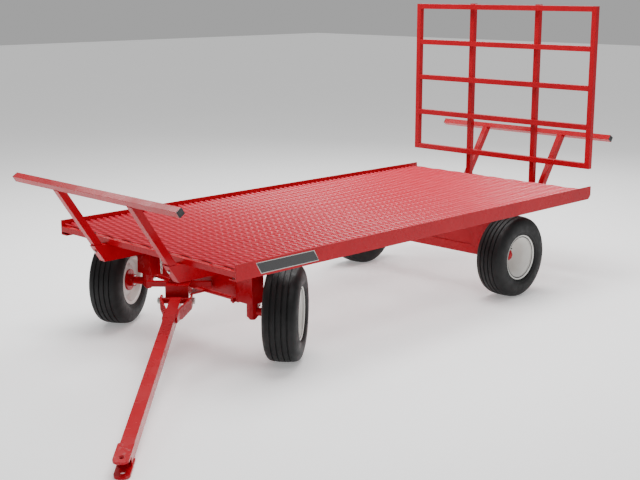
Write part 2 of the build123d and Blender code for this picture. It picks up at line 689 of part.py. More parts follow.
def tie_rod():
    """Rod with an eye at each end and the slotted tab that the drawbar head drives."""
    x, left = arm_tip(1)
    right = arm_tip(-1)[1]
    low = TIE_Z - EYE_THICK / 2
    high = TIE_Z + EYE_THICK / 2
    shaft = Pos(x, (left + right) / 2, TIE_Z) * Rot(90, 0, 0)
    body = shaft * Cylinder(TIE_ROD_R, left - right - 2 * EYE_NECK)
    for y, neck in ((left, -EYE_NECK), (right, EYE_NECK)):
        body += rod(EYE_R, low, high, x, y)
        y0, y1 = sorted((y, y + 1.2 * neck))
        body += block(x - TIE_ROD_R + 1, x + TIE_ROD_R - 1, y0, y1, low, high)
    pin_x = PIVOT_X - DRIVE_R * cos(radians(SWING))
    pin_y = -DRIVE_R * sin(radians(SWING))
    half = TAB_WIDTH / 2
    body += block(x, pin_x + SLOT_TRAVEL + half / 2, pin_y - half, pin_y + half, low, high)
    slot_half = DRIVE_PIN_R + SLOT_PLAY
    body -= block(pin_x - SLOT_TRAVEL, pin_x + SLOT_TRAVEL / 2, pin_y - slot_half,
                  pin_y + slot_half, low - 1, high + 1)
    for px in (pin_x - SLOT_TRAVEL, pin_x + SLOT_TRAVEL / 2):
        body -= rod(slot_half, low - 1, high + 1, px, pin_y)
    body -= rod(TIE_BOLT_R + RUN, low - 1, high + 1, x, left)
    body -= rod(TIE_BOLT_R + OPEN_PIVOT_PLAY, low - 1, high + 1, x, right)
    return body


def tie_rod_clamp():
    """Split clamp that locks the rod's length, with its cross bolt."""
    x, left = arm_tip(1)
    y = left - CLAMP_FROM_EYE
    barrel = Pos(x, y, TIE_Z) * Rot(90, 0, 0) * Cylinder(TIE_ROD_R + 5, CLAMP_LENGTH)
    lugs = block(x + TIE_ROD_R, x + TIE_ROD_R + 18, y - 12, y + 12, TIE_Z - 13, TIE_Z + 13)
    slit = block(x, x + TIE_ROD_R + 20, y - CLAMP_LENGTH, y + CLAMP_LENGTH, TIE_Z - 2, TIE_Z + 2)
    bore = Pos(x, y, TIE_Z) * Rot(90, 0, 0) * Cylinder(TIE_ROD_R, 2 * CLAMP_LENGTH)
    bolt = rod(4, TIE_Z - 20, TIE_Z + 13) + hexagon(13, TIE_Z + 13, TIE_Z + 19)
    bolt += hexagon(13, TIE_Z - 20, TIE_Z - 13)
    return barrel + lugs - slit - bore + Pos(x + TIE_ROD_R + 9, y, 0) * bolt


# ---------------------------------------------------------------- drawbar head
HEAD = Pos(PIVOT_X, 0, 0) * Rot(0, 0, SWING)
LUG_HIGH = LUG_LOW + LUG_THICK + LUG_GAP


def pivot_bracket():
    """Two lugs with side plates on the front bolster's middle."""
    back = FRONT_AXLE_X - WEB_FRONT
    body = None
    for low in (LUG_LOW, LUG_HIGH):
        lug = block(back, PIVOT_X, -LUG_R, LUG_R, low, low + LUG_THICK)
        lug += rod(LUG_R, low, low + LUG_THICK, PIVOT_X, 0)
        body = lug if body is None else body + lug
    for y in (-LUG_R, LUG_R - HEAD_PLATE):
        body += block(back, PIVOT_X - LUG_R / 2, y, y + HEAD_PLATE, LUG_LOW + LUG_THICK / 2,
                      LUG_HIGH + LUG_THICK / 2)
    return body - rod(PIVOT_R, LUG_LOW - 1, LUG_HIGH + LUG_THICK + 1, PIVOT_X, 0)


def pivot_pin():
    """Upright pin through the lugs and the head, with its collar and nut."""
    top = LUG_HIGH + LUG_THICK
    low = HEAD_LOW - DRIVE_ARM
    pin = rod(PIVOT_R, low - 16, top, PIVOT_X, 0) + hexagon(46, top, top + 15, PIVOT_X, 0)
    nut = hexagon(46, low - 14, low - STACK_GAP, PIVOT_X, 0)
    return [pin, nut - rod(PIVOT_R, low - 20, low, PIVOT_X, 0)]


def thrust_washer():
    """Washer between the head's disc and the lower lug."""
    low = HEAD_TOP + HEAD_DISC + SIDE_RUN
    high = LUG_LOW - SIDE_RUN
    return rod(2 * PIVOT_R, low, high, PIVOT_X, 0) - rod(PIVOT_R + RUN, low - 1, high + 1,
                                                         PIVOT_X, 0)


def drawbar_head():
    """Welded box on the pivot with the lift pin's sleeves in front and the drive arm behind."""
    t = HEAD_PLATE
    body = block(HEAD_BACK, HEAD_FRONT, -HEAD_HALF, HEAD_HALF, HEAD_LOW, HEAD_TOP)
    body -= block(HEAD_BACK - 1, HEAD_FRONT - t, -HEAD_HALF + t, HEAD_HALF - t, HEAD_LOW + t,
                  HEAD_TOP - t)
    body += rod(PIVOT_R + t, HEAD_LOW, HEAD_TOP)
    body += rod(HEAD_DISC_R, HEAD_TOP, HEAD_TOP + HEAD_DISC)
    body += block(HEAD_FRONT - t, HEAD_FRONT, -HEAD_HALF, HEAD_HALF, HINGE_Z - t, HEAD_LOW)
    arm_low = HEAD_LOW - DRIVE_ARM
    body += block(-DRIVE_R, HEAD_FRONT - t, -DRIVE_ARM_HALF, DRIVE_ARM_HALF, arm_low, HEAD_LOW)
    body += rod(DRIVE_ARM_HALF, arm_low, HEAD_LOW, -DRIVE_R, 0)
    length = SLEEVE_HALF - SLEEVE_SPLIT / 2
    for side in (1, -1):
        middle = side * (SLEEVE_SPLIT / 2 + length / 2)
        body += Pos(HINGE_A, middle, HINGE_Z) * Rot(90, 0, 0) * Cylinder(SLEEVE_R, length)
    body -= Pos(HINGE_A, 0, HINGE_Z) * Rot(90, 0, 0) * Cylinder(HINGE_PIN_R + RUN,
                                                              3 * SLEEVE_HALF)
    body -= rod(PIVOT_R + RUN, arm_low - 1, HEAD_TOP + HEAD_DISC + 1)
    return HEAD * (body - rod(DRIVE_PIN_R, arm_low - 1, HEAD_LOW + 1, -DRIVE_R, 0))


def stop_bar(side):
    """Stub on the head's side that meets the bolster at full lock."""
    y0, y1 = sorted((side * HEAD_HALF, side * STOP_REACH))
    half = STOP_SIZE / 2
    z0 = HEAD_TOP - STOP_SIZE - 1
    return HEAD * block(4 - half, 4 + half, y0, y1, z0, z0 + STOP_SIZE)


def drive_pin():
    """Bolt behind the pivot that works in the tie rod's slot, with its nut."""
    under = TIE_Z - EYE_THICK / 2 - 2
    pin = rod(DRIVE_PIN_R, under - 14, HEAD_LOW) + hexagon(24, HEAD_LOW, HEAD_LOW + 10)
    nut = hexagon(24, under - 12, under) - rod(DRIVE_PIN_R, under - 20, under + 1)
    return [HEAD * Pos(-DRIVE_R, 0, 0) * piece for piece in (pin, nut)]


# ---------------------------------------------------------------- drawbar
def droop():
    """Drawbar's slope when the lower hitch plate's nose lies on the ground, in degrees."""
    drop = TONGUE_TUBE / 2 + HITCH_PLATE
    reach = TONGUE_LENGTH + HITCH_NOSE
    return degrees(asin((HINGE_Z - GROUND_GAP) / hypot(reach, drop)) - atan2(drop, reach))


TONGUE = HEAD * Pos(HINGE_A, 0, HINGE_Z) * Rot(0, droop(), 0)


def tongue_tube():
    """Square tube of the drawbar."""
    length = TONGUE_LENGTH - HITCH_BACK + HITCH_LAP - TONGUE_START
    tube = Pos(TONGUE_START, 0, 0) * Rot(0, 90, 0) * square_tube(TONGUE_TUBE, TONGUE_WALL, length)
    return TONGUE * tube


def tongue_ear(side):
    """Flared side plate from the tube out to the lift pin."""
    inner = SLEEVE_HALF + EAR_PLAY
    tube = TONGUE_TUBE / 2
    t = EAR_THICK
    plan = [(-EAR_R, inner), (EAR_R, inner), (EAR_FLARE, tube), (EAR_TAIL, tube),
            (EAR_TAIL, tube + t), (EAR_FLARE + 4, tube + t), (EAR_R + 5, inner + t),
            (-EAR_R, inner + t)]
    if side < 0:
        plan = [(x, -y) for x, y in plan]
    tall = 2 * EAR_R
    ear = flat_plate(plan, -tall, tall)
    half = TONGUE_TUBE / 2
    profile = [(0, EAR_R), (EAR_R, EAR_R), (EAR_FLARE, half - 4), (EAR_TAIL, half - 8),
               (EAR_TAIL, -half + 22), (EAR_FLARE - 20, -half - 12), (EAR_R, -EAR_R), (0, -EAR_R)]
    shape = side_plate(profile, -2 * inner, 2 * inner)
    shape += Rot(90, 0, 0) * Cylinder(EAR_R, 4 * inner)
    ear = ear & shape
    ear -= Rot(90, 0, 0) * Cylinder(HINGE_PIN_R + RUN, 4 * inner)
    return TONGUE * ear


def lift_pin():
    """Cross pin with its head and nut outside the ears."""
    face = SLEEVE_HALF + EAR_PLAY + EAR_THICK
    pin = rod(HINGE_PIN_R, -face, face + 18) + hexagon(30, -face - 13, -face)
    nut = hexagon(30, face, face + 16) - rod(HINGE_PIN_R, face - 1, face + 17)
    return [TONGUE * Rot(90, 0, 0) * piece for piece in (pin, nut)]


def hitch_plate(side):
    """Upper or lower plate of the hitch jaw."""
    half = HITCH_WIDTH / 2
    nose_r = HITCH_NOSE - 14
    z0, z1 = sorted((side * TONGUE_TUBE / 2, side * (TONGUE_TUBE / 2 + HITCH_PLATE)))
    plate = block(-HITCH_BACK, HITCH_NOSE, -half, half, z0, z1)
    plate = fillet(plate.edges().filter_by(Axis.Z).group_by(Axis.X)[-1], nose_r)
    plate = fillet(plate.edges().filter_by(Axis.Z).group_by(Axis.X)[0], 8)
    plate -= rod(HITCH_HOLE_R, z0 - 1, z1 + 1)
    return TONGUE * Pos(TONGUE_LENGTH, 0, 0) * plate


# ---------------------------------------------------------------- small pieces
def badge():
    """Plain slanted strip on the left side rail."""
    x0, x1 = BADGE_X
    low = RAIL_TOP - (RAIL_HEIGHT + BADGE_HEIGHT) / 2
    high = low + BADGE_HEIGHT
    outline = [(x0, low), (x1 - BADGE_SLANT, low), (x1, high), (x0 + BADGE_SLANT, high)]
    return side_plate(outline, HALF_W, HALF_W + BADGE_THICK)


def chain_link(turn):
    """Oval link, long way up, about its middle."""
    half = LINK_STRAIGHT / 2
    link = None
    for up in (1, -1):
        bend = Pos(0, 0, up * half) * Rot(90, 0, 0) * Torus(LINK_R, LINK_WIRE)
        keep = block(-20, 20, -20, 20, up * half, up * (half + 20))
        link = bend & keep if link is None else link + (bend & keep)
    for side in (1, -1):
        link += rod(LINK_WIRE, -half, half, side * LINK_R, 0)
    return Rot(0, 0, turn) * link


def keeper_chain():
    """Short chain hanging from an eye under the front end rail."""
    x = HALF_L - CROSS_WIDTH / 2
    pitch = LINK_STRAIGHT + 2 * LINK_R - 2 * LINK_WIRE - 0.6
    eye = Rot(90, 0, 0) * Torus(LINK_R + 2, LINK_WIRE)
    top = CROSS_LOW - LINK_R - 2 - LINK_WIRE / 2
    eye = Pos(x, CHAIN_Y, top) * eye & block(x - 20, x + 20, CHAIN_Y - 9, CHAIN_Y + 9, 0, CROSS_LOW)
    pieces = [eye]
    first = top - LINK_R - 2 + LINK_WIRE + 0.3 - LINK_STRAIGHT / 2 - LINK_R + LINK_WIRE
    for i in range(CHAIN_LINKS):
        turn = 90 if i % 2 == 0 else 0
        pieces.append(Pos(x, CHAIN_Y, first - i * pitch) * chain_link(turn))
    return pieces


# ---------------------------------------------------------------- build
add("deck_sheet", deck_sheet())
add("side_rails", side_rail(1), side_rail(-1))
add("end_rails", end_rail(1), end_rail(-1))
add("cross_members", *cross_members())
add("main_beams", main_beam(1), main_beam(-1))
for end, name in ((1, "front"), (-1, "rear")):
    for side in (1, -1):
        add("leg_sockets", *socket_plates(side, end))
        add("leg_set_screws", set_screw(side, end))
        add(name + "_standard_legs", standard_leg(side, end))
        add(name + "_bar_plugs", bar_plug(side, end))
    add(name + "_standard_bar", standard_bar(end))
add("rack_rails", *[rack_rail(i) for i in range(RACK_RAILS)])
for side in (1, -1):
    add("rack_side_tubes", rack_side(side))
    add("rack_posts", rack_post(side))
    add("rack_pockets", rack_pocket(side))

add("front_bolster", front_bolster())
add("kingpin_bushes", *kingpin_bushes())
add("rear_bolster", rear_bolster())
add("rear_axle", rear_axle())
add("pivot_bracket", pivot_bracket())
add("pivot_pin", *pivot_pin())
add("thrust_washer", thrust_washer())

add("drawbar_head", drawbar_head())
add("steering_stops", stop_bar(1), stop_bar(-1))
add("drive_pin", *drive_pin())
add("tongue_tube", tongue_tube())
add("tongue_ears", tongue_ear(1), tongue_ear(-1))
add("lift_pin", *lift_pin())
add("hitch_plates", hitch_plate(1), hitch_plate(-1))

for side, name in ((1, "left"), (-1, "right")):
    add("knuckle_" + name, knuckle(side))
    add("kingpin_cap_" + name, kingpin_cap(side), kingpin_washer(side))
    add("tie_rod_bolt_" + name, *tie_bolt(side))
    add("spindle_set_front_" + name, *[wheel_frame("front_" + name) * p
                                       for p in bearings_and_nut()])
    add("spindle_sets_rear", *[wheel_frame("rear_" + name) * p for p in bearings_and_nut()])
add("tie_rod", tie_rod())
add("tie_rod_clamp", tie_rod_clamp())

for place in ("front_left", "front_right", "rear_left", "rear_right"):
    add("tyre_" + place, wheel_frame(place) * tyre())
    add("rim_" + place, wheel_frame(place) * rim())
    add("hub_" + place, wheel_frame(place) * hub())
    add("dust_cap_" + place, wheel_frame(place) * dust_cap())

add("side_strip", badge())
add("keeper_chain", *keeper_chain())

for name, solids in nodes.items():
    export_step(Pos(0, 0, -DECK_TOP) * Compound(children=solids), f"parts/{name}.step")
print(len(nodes), "nodes, drawbar slope", round(droop(), 3), "degrees")
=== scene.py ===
import bmesh
import bpy
import json
import random
from math import atan2, cos, pi, radians, sin, tau
from mathutils import Matrix, Vector

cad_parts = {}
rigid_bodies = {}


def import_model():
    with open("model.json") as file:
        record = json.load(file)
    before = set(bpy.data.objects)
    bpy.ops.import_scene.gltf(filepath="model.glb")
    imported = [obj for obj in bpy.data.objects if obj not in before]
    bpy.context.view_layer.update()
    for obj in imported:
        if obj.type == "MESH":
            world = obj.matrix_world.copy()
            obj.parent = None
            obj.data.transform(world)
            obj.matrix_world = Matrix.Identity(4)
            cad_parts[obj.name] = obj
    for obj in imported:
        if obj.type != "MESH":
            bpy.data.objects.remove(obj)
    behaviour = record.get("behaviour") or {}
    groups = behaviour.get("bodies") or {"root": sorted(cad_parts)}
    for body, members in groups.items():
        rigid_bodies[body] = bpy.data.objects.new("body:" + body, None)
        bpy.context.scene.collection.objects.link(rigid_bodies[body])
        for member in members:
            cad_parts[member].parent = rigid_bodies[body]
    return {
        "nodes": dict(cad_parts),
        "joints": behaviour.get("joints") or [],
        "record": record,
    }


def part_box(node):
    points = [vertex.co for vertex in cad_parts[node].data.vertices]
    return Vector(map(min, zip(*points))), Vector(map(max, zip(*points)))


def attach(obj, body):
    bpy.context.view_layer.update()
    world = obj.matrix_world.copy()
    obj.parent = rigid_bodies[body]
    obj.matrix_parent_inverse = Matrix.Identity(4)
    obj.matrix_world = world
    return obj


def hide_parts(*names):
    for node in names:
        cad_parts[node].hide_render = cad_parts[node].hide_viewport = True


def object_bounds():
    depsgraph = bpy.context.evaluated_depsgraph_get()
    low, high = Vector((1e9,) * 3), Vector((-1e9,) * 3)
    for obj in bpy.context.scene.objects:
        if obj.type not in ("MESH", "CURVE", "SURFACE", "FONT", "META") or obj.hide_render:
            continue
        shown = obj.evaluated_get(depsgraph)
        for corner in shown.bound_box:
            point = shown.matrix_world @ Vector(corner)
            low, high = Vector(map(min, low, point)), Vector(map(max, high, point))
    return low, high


for leftover in list(bpy.data.objects):
    bpy.data.objects.remove(leftover)
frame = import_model()
cad_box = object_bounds()

NODES = frame["nodes"]
JOINTS = {joint["name"]: joint for joint in frame["joints"]}
SCENE = bpy.context.scene
GROUND = cad_box[0].z

# ---------------------------------------------------------------- sizes in metres
DECK_PITCH = 0.0429            # diamonds along the wagon
DECK_DIAMOND = 0.1669          # diamonds across the wagon
STRAND_WIDTH = 0.0087
STRAND_THICK = 0.0050
STRAND_TILT = 45               # degrees out of the deck's plane, all leaning back
BOND = 0.30                    # share of a half diamond where two strands are one

TYRE_R = 0.258
TYRE_HALF = 0.095
TREAD_HALF = 0.074
TREAD_RIBS = 5
GROOVE = 0.007
GROOVE_DEPTH = 0.006
GROOVE_FLOOR = 0.0022           # half the width of a groove's floor
RIB_CHAMFER = 0.0012
CROWN = 0.006                  # fall of the tread from its middle to its edge
RIM_HALF = 0.082
FLANGE_R = 0.143
BEAD_R = 0.1268
WELL_R = 0.108
DISC_S = -0.050
HUB_R = 0.036
CAP_STEPS = 96
CAP_LOBES = 6
LOBE_DEPTH = 0.055              # half a lobe's fall, as a share of the radius
VALVE_R = 0.062
VALVE_TURN = 144               # degrees round the wheel
VALVE_LEAN = 14                # degrees from the wheel's axis
VALVE_GRIP = 0.90              # radius between the cap's ribs, as a share

STRIP_BORDER_WIDTH = 0.0035
STRIP_BORDER_SHARE = 0.6       # the border's share of the strip's depth

RACK_TUBES = 5                 # level tubes in the rack
RACK_BEAD = 0.0028
BOLSTER_BEAD = 0.004
POCKET_BEAD = 0.003
BEAD_INSET = 0.001             # a bead's middle, in from the face that it lies on
RACK_BEAD_END = 0.002          # bare steel past a bead's end
POCKET_BEAD_END = 0.003
BOLSTER_BEAD_IN = 0.302        # a bolster bead's ends, from the wagon's middle
BOLSTER_BEAD_OUT = 0.348
POCKET_WIDTH = 0.046
BEAD_STEP = 0.0016
BEAD_SIDES = 8
BEAD_RIPPLE = 0.16
RIPPLE_STEPS = 2.5             # steps from one ripple to the next
BEAD_TIP = 0.35                # radius at a bead's ends, as a share

FLOOR_SIZE = 60.0
CAMERA_AT = (5.0444, 4.8173, 1.3257)
CAMERA_TURN = (77.49, 0.0, 135.03)    # degrees
CAMERA_LENS = 64.4
LIGHTS_AIM = (0.3, 0.2, -0.1)
LIGHTS = {                     # place, power in watts and width
    "key": ((2.2, 3.6, 4.6), 60.0, 2.4),
    "top": ((-0.6, -0.4, 4.6), 460.0, 3.4),
    "fill": ((1.2, -3.8, 3.9), 70.0, 1.8),
    "back": ((-4.6, -2.4, 3.2), 110.0, 2.6),
}

WHEELS = {
    "front_left": ("wheel_front_left", "spin_front_left"),
    "front_right": ("wheel_front_right", "spin_front_right"),
    "rear_left": ("wheel_rear_left", "spin_rear_left"),
    "rear_right": ("wheel_rear_right", "spin_rear_right"),
}

RED = (0.44, 0.0022, 0.012)
DEEP_RED = (0.36, 0.0016, 0.009)
# the next two colours are painted light on the deck: a near-black painted shade for its recesses and a
# pale pink painted highlight for its crests
DECK_PAINTED_SHADE = (0.050, 0.0006, 0.002)
DECK_PAINTED_HIGHLIGHT = (0.80, 0.060, 0.110)
PRIMER = (0.20, 0.012, 0.014)
BARE_STEEL = (0.30, 0.28, 0.27)
WHITE = (0.80, 0.80, 0.78)
CREAM = (0.66, 0.65, 0.61)
RUBBER = (0.0042, 0.0043, 0.0046)
RUBBER_DUST = (0.0110, 0.0105, 0.0100)
ZINC = (0.60, 0.60, 0.57)
ZINC_DULL = (0.40, 0.40, 0.37)
BRONZE = (0.46, 0.29, 0.12)
PLASTIC = (0.012, 0.012, 0.013)
STRIP = (0.006, 0.006, 0.008)
PLASTIC_LIGHT = (0.03, 0.03, 0.031)
GROUND_STEEL = (0.52, 0.52, 0.52)
GROUND_STEEL_DULL = (0.38, 0.38, 0.38)
BRONZE_DULL = (0.33, 0.20, 0.09)
STRIP_LIGHT = (0.011, 0.011, 0.013)
STRIP_EDGE = (0.58, 0.57, 0.55)
STRIP_EDGE_DULL = (0.48, 0.47, 0.45)
FLOOR = (0.91, 0.91, 0.91)
FLOOR_LIGHT = (0.93, 0.93, 0.93)


# ---------------------------------------------------------------- materials
class Recipe:
    """A node material under construction, with the few nodes every finish needs."""

    def __init__(self, name, metallic=0.0, coat=0.0, coat_roughness=0.05):
        self.material = bpy.data.materials.new(name)
        self.material.use_nodes = True
        self.tree = self.material.node_tree
        self.shader = self.tree.nodes["Principled BSDF"]
        self.shader.inputs["Metallic"].default_value = metallic
        self.shader.inputs["Coat Weight"].default_value = coat
        self.shader.inputs["Coat Roughness"].default_value = coat_roughness
        self.place = self.tree.nodes.new("ShaderNodeTexCoord").outputs["Object"]

    def noise(self, scale, detail=4.0, roughness=0.55):
        node = self.tree.nodes.new("ShaderNodeTexNoise")
        node.inputs["Scale"].default_value = scale
        node.inputs["Detail"].default_value = detail
        node.inputs["Roughness"].default_value = roughness
        self.tree.links.new(self.place, node.inputs["Vector"])
        return node.outputs["Fac"]

    def height(self, low, high):
        """0 at one height and 1 at another, in metres in the row frame."""
        node = self.tree.nodes.new("ShaderNodeSeparateXYZ")
        self.tree.links.new(self.place, node.inputs["Vector"])
        return self.remap(node.outputs["Z"], low, high)

    def remap(self, value, low, high, to_low=0.0, to_high=1.0):
        node = self.tree.nodes.new("ShaderNodeMapRange")
        node.inputs["From Min"].default_value = low
        node.inputs["From Max"].default_value = high
        node.inputs["To Min"].default_value = to_low
        node.inputs["To Max"].default_value = to_high
        self.tree.links.new(value, node.inputs["Value"])
        return node.outputs["Result"]

    def maths(self, operation, a, b):
        node = self.tree.nodes.new("ShaderNodeMath")
        node.operation = operation
        for value, socket in zip((a, b), node.inputs):
            if isinstance(value, float):
                socket.default_value = value
            else:
                self.tree.links.new(value, socket)
        return node.outputs["Value"]

    def mix(self, share, a, b):
        node = self.tree.nodes.new("ShaderNodeMix")
        node.data_type = "RGBA"
        self.tree.links.new(share, node.inputs["Factor"])
        for value, socket in zip((a, b), (node.inputs[6], node.inputs[7])):
            if isinstance(value, tuple):
                socket.default_value = (*value, 1.0)
            else:
                self.tree.links.new(value, socket)
        return node.outputs[2]

    def worn_edges(self, radius, low, high):
        """0 on flat faces, up to 1 at the edges, with the edges rounded in the shading."""
        bevel = self.tree.nodes.new("ShaderNodeBevel")
        bevel.samples = 6
        bevel.inputs["Radius"].default_value = radius
        flat = self.tree.nodes.new("ShaderNodeNewGeometry").outputs["Normal"]
        dot = self.tree.nodes.new("ShaderNodeVectorMath")
        dot.operation = "DOT_PRODUCT"
        self.tree.links.new(flat, dot.inputs[0])
        self.tree.links.new(bevel.outputs["Normal"], dot.inputs[1])
        return self.remap(dot.outputs["Value"], high, low), bevel.outputs["Normal"]

    def bump(self, height, distance, strength, base=None):
        node = self.tree.nodes.new("ShaderNodeBump")
        node.inputs["Distance"].default_value = distance
        node.inputs["Strength"].default_value = strength
        self.tree.links.new(height, node.inputs["Height"])
        if base is not None:
            self.tree.links.new(base, node.inputs["Normal"])
        return node.outputs["Normal"]

    def finish(self, colour, roughness, normal):
        self.tree.links.new(colour, self.shader.inputs["Base Color"])
        self.tree.links.new(roughness, self.shader.inputs["Roughness"])
        self.tree.links.new(normal, self.shader.inputs["Normal"])
        return self.material


def enamel(name, colour, shade, under, wear=0.12, chips=0.0):
    """Glossy sprayed enamel, thinner on its edges, with a faint orange peel."""
    r = Recipe(name, coat=0.04, coat_roughness=0.10)
    r.shader.inputs["Specular IOR Level"].default_value = 0.16
    base = r.mix(r.remap(r.noise(2.6), 0.32, 0.68), shade, colour)
    edge, rounded = r.worn_edges(0.0022, 0.80, 0.985)
    patchy = r.remap(r.noise(55.0, 6.0), 0.50, 0.66)
    worn = r.maths("MULTIPLY", r.maths("MULTIPLY", edge, patchy), wear)
    if chips:
        scuffs = r.remap(r.noise(38.0, 8.0, 0.7), 0.60 - 0.12 * chips, 0.68)
        worn = r.maths("MAXIMUM", worn, r.maths("MULTIPLY", scuffs, chips))
    tint = r.mix(worn, base, under)
    rough = r.maths("ADD", r.remap(r.noise(9.0), 0.3, 0.7, 0.20, 0.34),
                    r.maths("MULTIPLY", worn, 0.35))
    return r.finish(tint, rough, r.bump(r.noise(420.0, 2.0), 0.0003, 0.10, rounded))


def painted_light_enamel(name, low, high):
    """Enamel on the deck strands: painted shade, dark in the recesses, and a painted highlight, pale on
    the crests.
    """
    r = Recipe(name, coat=0.12, coat_roughness=0.14)
    r.shader.inputs["Specular IOR Level"].default_value = 0.28
    # painted light by height: 0 at the strands' bottom, 1 at their top
    painted_light_mask = r.height(low, high)
    # painted shade: near-black low in the strands, fading to plain red half way up
    body = r.mix(r.remap(painted_light_mask, 0.0, 0.55), DECK_PAINTED_SHADE, RED)
    # painted highlight: pale pink towards the tops of the strands
    tint = r.mix(r.remap(painted_light_mask, 0.55, 1.0), body, DECK_PAINTED_HIGHLIGHT)
    scuffed = r.mix(r.remap(r.noise(24.0, 6.0), 0.60, 0.80, 0.0, 0.25), tint, PRIMER)
    rough = r.remap(r.noise(9.0), 0.3, 0.7, 0.20, 0.30)
    return r.finish(scuffed, rough, r.bump(r.noise(420.0, 2.0), 0.0003, 0.10))


def rubber(name):
    """Satin tyre rubber with a little dust in it."""
    r = Recipe(name)
    dust = r.remap(r.noise(16.0, 7.0), 0.52, 0.74, 0.0, 0.6)
    tint = r.mix(dust, RUBBER, RUBBER_DUST)
    r.shader.inputs["Specular IOR Level"].default_value = 0.30
    rough = r.remap(r.noise(30.0), 0.3, 0.7, 0.46, 0.66)
    return r.finish(tint, rough, r.bump(r.noise(700.0, 3.0), 0.0004, 0.25))


def metal(name, bright, dull, low, high, grain=320.0):
    """Plated or turned metal, mottled, with rounded edges."""
    r = Recipe(name, metallic=1.0)
    tint = r.mix(r.remap(r.noise(75.0, 5.0), 0.38, 0.64), bright, dull)
    rounded = r.worn_edges(0.0008, 0.80, 0.985)[1]
    rough = r.remap(r.noise(120.0), 0.3, 0.7, low, high)
    return r.finish(tint, rough, r.bump(r.noise(grain, 3.0), 0.0003, 0.18, rounded))


def moulding(name, colour, light, low, high, grain):
    """Moulded plastic or film with a fine surface."""
    r = Recipe(name)
    tint = r.mix(r.remap(r.noise(45.0, 5.0), 0.46, 0.72), colour, light)
    rounded = r.worn_edges(0.0015, 0.80, 0.985)[1]
    rough = r.remap(r.noise(60.0), 0.3, 0.7, low, high)
    return r.finish(tint, rough, r.bump(r.noise(grain, 2.0), 0.0003, 0.2, rounded))


MATERIALS = {
    "red_paint": enamel("red_enamel", RED, DEEP_RED, PRIMER),
    "white_paint": enamel("white_enamel", WHITE, CREAM, BARE_STEEL, wear=0.30),
    "tyre_rubber": rubber("tyre_black"),
    "black_plastic": moulding("plug_black", PLASTIC, PLASTIC_LIGHT, 0.42, 0.6, 500.0),
    "zinc_plate": metal("zinc_bright", ZINC, ZINC_DULL, 0.22, 0.40),
    "bearing_steel": metal("steel_ground", GROUND_STEEL, GROUND_STEEL_DULL, 0.16, 0.30),
    "bronze": metal("bronze_turned", BRONZE, BRONZE_DULL, 0.22, 0.36),
    "strip_black": moulding("strip_film", STRIP, STRIP_LIGHT, 0.14, 0.26, 260.0),
}
WORN_RED = enamel("red_enamel_worn", RED, DEEP_RED, BARE_STEEL, wear=0.6, chips=0.3)
WELD_RED = enamel("red_weld", RED, DEEP_RED, PRIMER, wear=0.2)
STRIP_BORDER = moulding("strip_border", STRIP_EDGE, STRIP_EDGE_DULL, 0.25, 0.38, 260.0)


def paint_cad():
    """Give every carried-over CAD node the finish of its slot."""
    for part in frame["record"]["subparts"]:
        node = NODES[part["node"]]
        for slot in node.material_slots:
            slot.material = MATERIALS[part["material_slot"]]
    for slot in NODES["hitch_plates"].material_slots:
        slot.material = WORN_RED


# ---------------------------------------------------------------- mesh helpers
def new_object(name, mesh, material, smooth=40):
    """Object of a mesh, shaded smooth up to an angle in degrees."""
    for polygon in mesh.polygons:
        polygon.use_smooth = True
    mesh.set_sharp_from_angle(angle=radians(smooth))
    mesh.materials.append(material)
    obj = bpy.data.objects.new(name, mesh)
    SCENE.collection.objects.link(obj)
    return obj


def mesh_of(name, points, faces):
    """Mesh with its normals pointing out."""
    mesh = bpy.data.meshes.new(name)
    mesh.from_pydata(points, [], faces)
    shape = bmesh.new()
    shape.from_mesh(mesh)
    bmesh.ops.recalc_face_normals(shape, faces=shape.faces)
    shape.to_mesh(mesh)
    shape.free()
    return mesh


def turned_mesh(name, outline, steps, warp=None):
    """Closed outline of (radius, out) points turned round +Y; warp moves a point by its place."""
    points = []
    for k in range(steps):
        angle = tau * k / steps
        for i, (radius, out) in enumerate(outline):
            r, s = warp(i, k, radius, out) if warp else (radius, out)
            points.append((r * cos(angle), s, r * sin(angle)))
    n = len(outline)
    faces = []
    for k in range(steps):
        here = k * n
        there = (k + 1) % steps * n
        for i in range(n):
            j = (i + 1) % n
            faces.append((here + i, here + j, there + j, there + i))
    return mesh_of(name, points, faces)


def wheel_matrix(key):
    """Frame at a wheel's middle, with +Y out of the wagon along its spin axis."""
    low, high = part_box("tyre_" + key)
    out = Vector(JOINTS[WHEELS[key][1]]["axis"])
    if (out.y > 0) != ("left" in key):
        out = -out
    out.normalize()
    up = Vector((0, 0, 1))
    side = out.cross(up)
    turn = Matrix((side, out, up)).transposed().to_4x4()
    return Matrix.Translation((low + high) / 2) @ turn


def place(obj, matrix, body, *replaced):
    """Set a piece's mesh at a frame, make it ride, and let it stand for CAD nodes."""
    obj.data.transform(matrix)
    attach(obj, body)
    if replaced:
        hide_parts(*replaced)
    return obj


# ---------------------------------------------------------------- deck
def strand_points(index, low, high, centre_z, tilt):
    """One strand's centreline: it meets its neighbour on each side by turns, edge to edge."""
    x = low.x + (index + 0.5) * DECK_PITCH / 2
    half = DECK_DIAMOND / 2
    reach = (DECK_PITCH / 2 - STRAND_WIDTH * cos(tilt)) / 2
    rise = STRAND_WIDTH * sin(tilt) / 2
    count = int((high.y - low.y) / half) + 1
    sign = 1 if index % 2 else -1
    line = []
    for k in range(count + 1):
        y = low.y + k * half
        for shift in (-BOND / 2, BOND / 2):
            at = min(max(y + shift * half, low.y), high.y)
            if not line or at - line[-1].y > 1e-4:
                line.append(Vector((x + sign * reach, at, centre_z + sign * rise)))
        sign = -sign
    return line


